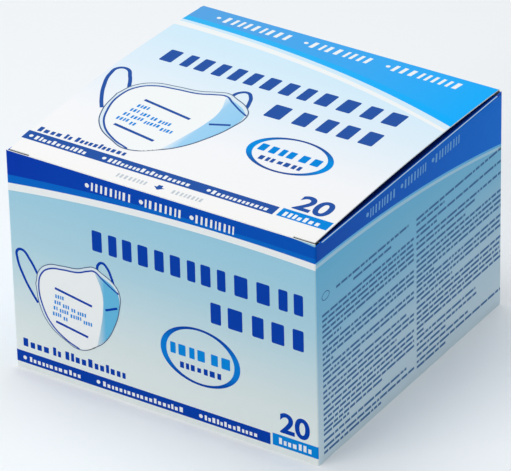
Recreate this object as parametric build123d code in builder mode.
"""Carton of flat-folded dust masks: a tuck-top paperboard carton with twenty masks standing in it.

The masks are half masks folded flat along their centre seam. Each stands on its ear edge with the seam
upwards, one behind the other from the front panel to the rear panel. The carton's walls are one folded
blank: each panel is its own solid, and panels meet at the folds. The lid folds back about the top edge
of the rear panel, and carries a tuck flap that slides in behind the front panel. Two dust flaps, folded
in from the side panels, lie under the lid. The bottom is closed by four glued flaps.

Frame: millimetres, origin at the middle of the bottom, +Z up, the front panel faces -Y.
"""

import os
from math import asin, cos, degrees, radians, sin

from build123d import *

# ---- the masks ------------------------------------------------------------------------------------
MASK_COUNT = 20
MASK_LENGTH = 160.0  # nose corner to chin corner, folded flat
MASK_HEIGHT = 105.0  # ear edge to the top of the centre seam
MASK_PITCH = 7.8  # from one mask's middle to the next one's
EAR_EDGE_LENGTH = 88.0  # the straight lower edge that carries the ear loops
CORNER_HEIGHT = 68.0  # of the nose and chin corners above the ear edge
MASK_CORNER_RADIUS = 6.0

# one half's five layers, from the outside in: name and thickness
LAYERS = [
    ("outer_web", 0.30),
    ("blown_filter_a", 0.25),
    ("blown_filter_b", 0.25),
    ("cotton_filter", 0.90),
    ("inner_web", 0.30),
]
HALF_THICKNESS = sum(thickness for _, thickness in LAYERS)

LOOP_WIDTH = 4.0  # flat elastic
LOOP_THICKNESS = 0.8
LOOP_SPAN = 66.0  # between the middles of a loop's two legs
LOOP_FOOT_HEIGHT = 5.0  # of the welded ends above the ear edge
LOOP_TOP_HEIGHT = 84.0  # of the loop's outer edge above the ear edge
LOOP_LIFT = 0.05  # between a loop and the web that it lies on

WIRE_WIDTH = 4.0  # nose wire: a flat aluminium strip, folded over the seam
WIRE_THICKNESS = 0.6
WIRE_ARM = 44.0  # the length on each half
WIRE_INSET = 9.0  # from the nose edge to the strip's middle

# ---- the carton -----------------------------------------------------------------------------------
BOARD = 0.5
FOLD_RADIUS = 1.0  # outside of the upright folds
SIDE_CLEARANCE = 2.0  # between the masks' corners and each side panel
REAR_CLEARANCE = 1.6  # between the last mask and the glue flap
FRONT_CLEARANCE = 5.0  # between the front panel and the first mask, which holds the tuck flap
BOTTOM_CLEARANCE = 0.2  # between the bottom flaps and the masks
HEAD_CLEARANCE = 6.6  # between the masks' seams and the dust flaps
HINGE_GAP = 0.05  # between a folding panel and the panel it folds on

LID_CROWN = 3.0  # how far the closed lid bulges upwards
LID_SIDE_INSET = 1.4  # from each side panel's outer face to the lid's cut edge
LID_FRONT_GAP = 0.15  # between the lid's front fold and the front panel
LID_DROP = 0.7  # between the lid's edge and the dust flaps
LID_CORNER_RADIUS = 1.5

TUCK_LENGTH = 18.0
TUCK_LEAN = 8.0  # degrees, inwards from upright
TUCK_SIDE_INSET = 3.0
TUCK_CORNER_RADIUS = 12.0

DUST_FLAP_WIDTH = 52.0
DUST_FRONT_INSET = 5.0  # from the front panel's outer face
DUST_REAR_INSET = 4.0  # from the rear panel's outer face
DUST_REAR_TAPER = 42.0  # degrees
DUST_SHOULDER = 12.0  # the straight part of the front edge that locks the lid
DUST_SHOULDER_STEP = 4.0
DUST_CORNER_RADIUS = 4.0

GLUE_FLAP_WIDTH = 15.0
GLUE_FLAP_CHAMFER = 6.0
BOTTOM_FLAP_GAP = 0.4  # round the free edges of the bottom flaps
BOTTOM_INNER_DEPTH = 108.0  # of the inner long flap, from the rear panel
BOTTOM_DUST_WIDTH = 58.0
BOTTOM_CHAMFER = 5.0

# ---- sizes that follow ----------------------------------------------------------------------------
GLUED_LAYERS = 3  # boards on each other at the bottom
mask_thickness = 2 * (HALF_THICKNESS + LOOP_LIFT + LOOP_THICKNESS)
row_depth = (MASK_COUNT - 1) * MASK_PITCH + mask_thickness

carton_width = MASK_LENGTH + 2 * SIDE_CLEARANCE + 2 * BOARD
carton_depth = row_depth + FRONT_CLEARANCE + REAR_CLEARANCE + 3 * BOARD
mask_floor = GLUED_LAYERS * BOARD + BOTTOM_CLEARANCE
dust_top = mask_floor + MASK_HEIGHT + HEAD_CLEARANCE + BOARD
carton_height = dust_top + LID_DROP + BOARD

front_y = -carton_depth / 2
rear_y = carton_depth / 2
side_x = carton_width / 2
first_mask_y = front_y + BOARD + FRONT_CLEARANCE + mask_thickness / 2
lid_front_y = front_y + BOARD + LID_FRONT_GAP
lid_length = rear_y - lid_front_y
lid_middle_y = (rear_y + lid_front_y) / 2
lid_radius = (lid_length**2 / 4 + LID_CROWN**2) / (2 * LID_CROWN)
lid_end_slope = degrees(asin(lid_length / 2 / lid_radius))

os.makedirs("parts", exist_ok=True)


def save(piece, name):
    """Labels a finished piece and writes it as parts/NAME.step."""
    piece.label = name
    export_step(piece, f"parts/{name}.step")
    print(f"{name:32s} {piece.volume:10.1f} mm3")


# ---- carton walls ---------------------------------------------------------------------------------
def wall(side, height):
    """One of the four walls, split from its neighbours at the middle of each rounded upright fold."""
    arc_x = side_x - FOLD_RADIUS
    arc_y = rear_y - FOLD_RADIUS
    reach = 2 * FOLD_RADIUS
    corners = {
        "front": [(-arc_x, -arc_y), (-arc_x - reach, -arc_y - reach),
                  (arc_x + reach, -arc_y - reach), (arc_x, -arc_y)],
        "rear": [(arc_x, arc_y), (arc_x + reach, arc_y + reach),
                 (-arc_x - reach, arc_y + reach), (-arc_x, arc_y)],
        "left": [(-arc_x, arc_y), (-arc_x - reach, arc_y + reach),
                 (-arc_x - reach, -arc_y - reach), (-arc_x, -arc_y)],
        "right": [(arc_x, -arc_y), (arc_x + reach, -arc_y - reach),
                  (arc_x + reach, arc_y + reach), (arc_x, arc_y)],
    }
    with BuildPart() as panel:
        with BuildSketch():
            RectangleRounded(carton_width, carton_depth, FOLD_RADIUS)
            RectangleRounded(
                carton_width - 2 * BOARD,
                carton_depth - 2 * BOARD,
                FOLD_RADIUS - BOARD,
                mode=Mode.SUBTRACT,
            )
            Polygon(*corners[side], align=None, mode=Mode.INTERSECT)
        extrude(amount=height)
    return panel.part


side_wall_height = dust_top - BOARD - HINGE_GAP
save(wall("front", carton_height), "front_panel")
save(wall("rear", carton_height - BOARD - HINGE_GAP), "rear_panel")
save(wall("left", side_wall_height), "left_panel")
save(wall("right", side_wall_height), "right_panel")

# The glue flap joins the blank's two ends: it is glued to the inside of the rear panel.
glue_flap_bottom = GLUED_LAYERS * BOARD
glue_flap_height = dust_top - BOARD - HINGE_GAP - glue_flap_bottom
with BuildPart() as glue_flap:
    with BuildSketch(Plane.XZ.offset(-(rear_y - BOARD))):
        with Locations((-side_x + FOLD_RADIUS, glue_flap_bottom)):
            Rectangle(GLUE_FLAP_WIDTH, glue_flap_height, align=(Align.MIN, Align.MIN))
        free_corners = vertices().group_by(Axis.X)[-1]
        chamfer(free_corners, GLUE_FLAP_CHAMFER)
    extrude(amount=BOARD)
save(glue_flap.part, "glue_flap")


# ---- bottom flaps ---------------------------------------------------------------------------------
# They lie on each other, the front one outermost.
inner_width = carton_width - 2 * BOARD
inner_depth = carton_depth - 2 * BOARD

with BuildPart() as bottom_outer_flap:
    with BuildSketch():
        with Locations((0, front_y + BOARD)):
            Rectangle(
                inner_width - 2 * BOTTOM_FLAP_GAP,
                inner_depth - BOTTOM_FLAP_GAP,
                align=(Align.CENTER, Align.MIN),
            )
        chamfer(vertices().group_by(Axis.Y)[-1], BOTTOM_CHAMFER)
    extrude(amount=BOARD)
save(bottom_outer_flap.part, "bottom_outer_flap")

with BuildPart() as bottom_inner_flap:
    with BuildSketch(Plane.XY.offset(BOARD)):
        with Locations((0, rear_y - BOARD)):
            Rectangle(
                inner_width - 2 * BOTTOM_FLAP_GAP,
                BOTTOM_INNER_DEPTH,
                align=(Align.CENTER, Align.MAX),
            )
        chamfer(vertices().group_by(Axis.Y)[0], BOTTOM_CHAMFER)
    extrude(amount=BOARD)
save(bottom_inner_flap.part, "bottom_inner_flap")

for side, sign in (("left", -1), ("right", 1)):
    with BuildPart() as bottom_dust_flap:
        with BuildSketch(Plane.XY.offset(2 * BOARD)):
            with Locations((sign * (side_x - BOARD - BOTTOM_DUST_WIDTH / 2), 0)):
                Rectangle(BOTTOM_DUST_WIDTH, inner_depth - 2 * BOTTOM_FLAP_GAP)
            free_corners = vertices().group_by(Axis.X)[-1 if sign < 0 else 0]
            chamfer(free_corners, BOTTOM_CHAMFER)
        extrude(amount=BOARD)
    save(bottom_dust_flap.part, f"bottom_{side}_dust_flap")


# ---- lid ------------------------------------------------------------------------------------------
# A shallow arch from the rear fold to the front fold. Both folds' outer edges are hinge lines.
lid_half_width = side_x - LID_SIDE_INSET
end_step = (BOARD * sin(radians(lid_end_slope)), BOARD * cos(radians(lid_end_slope)))
with BuildPart() as lid_panel:
    with BuildSketch(Plane.YZ):
        with BuildLine():
            outside = ThreePointArc(
                (lid_front_y, carton_height),
                (lid_middle_y, carton_height + LID_CROWN),
                (rear_y, carton_height),
            )
            inside = ThreePointArc(
                (lid_front_y + end_step[0], carton_height - end_step[1]),
                (lid_middle_y, carton_height + LID_CROWN - BOARD),
                (rear_y - end_step[0], carton_height - end_step[1]),
            )
            Line(outside @ 0, inside @ 0)
            Line(outside @ 1, inside @ 1)
        make_face()
    extrude(amount=lid_half_width, both=True)
    upright = edges().filter_by(lambda edge: abs(edge.bounding_box().size.X) < 0.01 and edge.length < 1)
    fillet(upright, LID_CORNER_RADIUS)
save(lid_panel.part, "lid_panel")

# The tuck flap hangs from the lid's front fold and leans inwards, clear of the front panel.
lean = radians(TUCK_LEAN)
tuck_plane = Plane(
    origin=(0, lid_front_y, carton_height),
    x_dir=(1, 0, 0),
    z_dir=(0, -cos(lean), -sin(lean)),
)
tuck_start = BOARD + HINGE_GAP
with BuildPart() as tuck_flap:
    with BuildSketch(tuck_plane):
        with Locations((0, -tuck_start)):
            Rectangle(
                2 * (lid_half_width - TUCK_SIDE_INSET),
                TUCK_LENGTH - tuck_start,
                align=(Align.CENTER, Align.MAX),
            )
        fillet(vertices().group_by(Axis.Y)[0], TUCK_CORNER_RADIUS)
    extrude(amount=-BOARD)
save(tuck_flap.part, "tuck_flap")


# ---- dust flaps -----------------------------------------------------------------------------------
def dust_flap(sign):
    """A dust flap: its outer edge is on the side panel's top fold. sign is -1 on the left, 1 on the right."""
    front = front_y + DUST_FRONT_INSET
    rear = rear_y - DUST_REAR_INSET
    rear_run = DUST_FLAP_WIDTH * sin(radians(DUST_REAR_TAPER)) / cos(radians(DUST_REAR_TAPER))
    # distance in from the fold, and place from front to rear
    outline = [
        (0, front),
        (DUST_SHOULDER, front),
        (DUST_SHOULDER + DUST_SHOULDER_STEP, front + DUST_SHOULDER_STEP),
        (DUST_FLAP_WIDTH, front + 2 * DUST_SHOULDER_STEP),
        (DUST_FLAP_WIDTH, rear - rear_run),
        (0, rear),
    ]
    with BuildPart() as flap:
        with BuildSketch(Plane.XY.offset(dust_top)):
            with BuildLine():
                Polyline([(sign * (side_x - inwards), y) for inwards, y in outline], close=True)
            make_face()
            inner_edge = vertices().group_by(Axis.X)[-1 if sign < 0 else 0]
            fillet(inner_edge, DUST_CORNER_RADIUS)
        extrude(amount=-BOARD)
    return flap.part


save(dust_flap(-1), "left_dust_flap")
save(dust_flap(1), "right_dust_flap")


# ---- masks ----------------------------------------------------------------------------------------
def upright_plane(y):
    """An upright plane across the carton at y. Its normal points to the front."""
    return Plane.XZ.offset(-y)


def slab(y_front, y_rear, growth=0.0):
    """The folded mask's outline from y_front to y_rear, grown by so much all round.

    The ear edge is below, the nose corner on the right, and the centre seam is one arc above.
    """
    half_ear = EAR_EDGE_LENGTH / 2
    half_length = MASK_LENGTH / 2
    with BuildPart() as layer:
        with BuildSketch(upright_plane(y_rear)):
            with BuildLine():
                seam = ThreePointArc(
                    (-half_length, mask_floor + CORNER_HEIGHT),
                    (0, mask_floor + MASK_HEIGHT),
                    (half_length, mask_floor + CORNER_HEIGHT),
                )
                Polyline(seam @ 0, (-half_ear, mask_floor), (half_ear, mask_floor), seam @ 1)
            make_face()
            fillet(vertices(), MASK_CORNER_RADIUS)
            if growth:
                offset(amount=growth, kind=Kind.ARC)
        extrude(amount=y_rear - y_front)
    return layer.part


def ear_loop(middle_y, sign):
    """An ear loop folded up flat on one half's outer web. sign is -1 for the front half, 1 for the rear."""
    near = HALF_THICKNESS + LOOP_LIFT
    far = near + LOOP_THICKNESS
    y_rear = middle_y + (far if sign > 0 else -near)
    arch_radius = (LOOP_SPAN + LOOP_WIDTH) / 2
    leg_top = LOOP_TOP_HEIGHT - arch_radius
    with BuildPart() as loop:
        with BuildSketch(upright_plane(y_rear)):
            with BuildLine():
                foot = mask_floor + LOOP_FOOT_HEIGHT
                shoulder = mask_floor + leg_top
                for radius in (arch_radius, arch_radius - LOOP_WIDTH):
                    Line((-radius, foot), (-radius, shoulder))
                    ThreePointArc((-radius, shoulder), (0, shoulder + radius), (radius, shoulder))
                    Line((radius, shoulder), (radius, foot))
                for end in (-1, 1):
                    Line((end * arch_radius, foot), (end * (arch_radius - LOOP_WIDTH), foot))
            make_face()
        extrude(amount=LOOP_THICKNESS)
    return loop.part


def nose_wire(middle_y):
    """The flat strip along the nose edge of both halves, joined where it folds over the seam."""
    run = (MASK_LENGTH - EAR_EDGE_LENGTH) / 2
    length = (run**2 + CORNER_HEIGHT**2) ** 0.5
    along = Vector(run / length, 0, CORNER_HEIGHT / length)
    inwards = Vector(-CORNER_HEIGHT / length, 0, run / length)
    corner = Vector(MASK_LENGTH / 2, middle_y, mask_floor + CORNER_HEIGHT)
    wire_plane = Plane(origin=corner + inwards * WIRE_INSET, x_dir=along, z_dir=inwards)
    reach = HALF_THICKNESS + WIRE_THICKNESS
    wrapped = slab(middle_y - HALF_THICKNESS, middle_y + HALF_THICKNESS)
    around = slab(middle_y - reach, middle_y + reach, growth=WIRE_THICKNESS)
    with BuildPart() as wire:
        with BuildSketch(wire_plane):
            with Locations(((WIRE_INSET - WIRE_ARM) / 2, 0)):
                Rectangle(WIRE_ARM + WIRE_INSET, 2 * reach)
        extrude(amount=WIRE_WIDTH / 2, both=True)
        add(around, mode=Mode.INTERSECT)
        add(wrapped, mode=Mode.SUBTRACT)
    return wire.part


# The first mask, whose pieces are separate: five layers on each half, two loops and the nose wire.
for half, sign in (("left", -1), ("right", 1)):
    depth = HALF_THICKNESS
    for layer_name, layer_thickness in LAYERS:
        inner = sign * (depth - layer_thickness)
        outer = sign * depth
        save(
            slab(first_mask_y + min(inner, outer), first_mask_y + max(inner, outer)),
            f"mask_01_{half}_{layer_name}",
        )
        depth -= layer_thickness
    save(ear_loop(first_mask_y, sign), f"mask_01_{half}_ear_loop")
save(nose_wire(first_mask_y), "mask_01_nose_wire")

# The masks behind it: each is a node of two welded halves. Their loops and wires share a node each.
other_loops = []
other_wires = []
for number in range(2, MASK_COUNT + 1):
    y = first_mask_y + (number - 1) * MASK_PITCH
    halves = [slab(y - HALF_THICKNESS, y), slab(y, y + HALF_THICKNESS)]
    save(Compound(children=halves), f"mask_{number:02d}_halves")
    other_loops += [ear_loop(y, sign) for sign in (-1, 1)]
    other_wires.append(nose_wire(y))
save(Compound(children=other_loops), "other_masks_ear_loops")
save(Compound(children=other_wires), "other_masks_nose_wires")

print(f"carton {carton_width:.2f} x {carton_depth:.2f} x {carton_height:.2f} mm, lid crown {LID_CROWN}")
print(f"lid hinge at y {rear_y:.3f}, z {carton_height:.3f}; tuck fold at y {lid_front_y:.3f}")
print(f"dust fold at x {side_x:.3f}, z {dust_top:.3f}; first mask at y {first_mask_y:.3f}")
print(f"lid end slope {lid_end_slope:.2f} degrees; mask floor {mask_floor:.2f}")
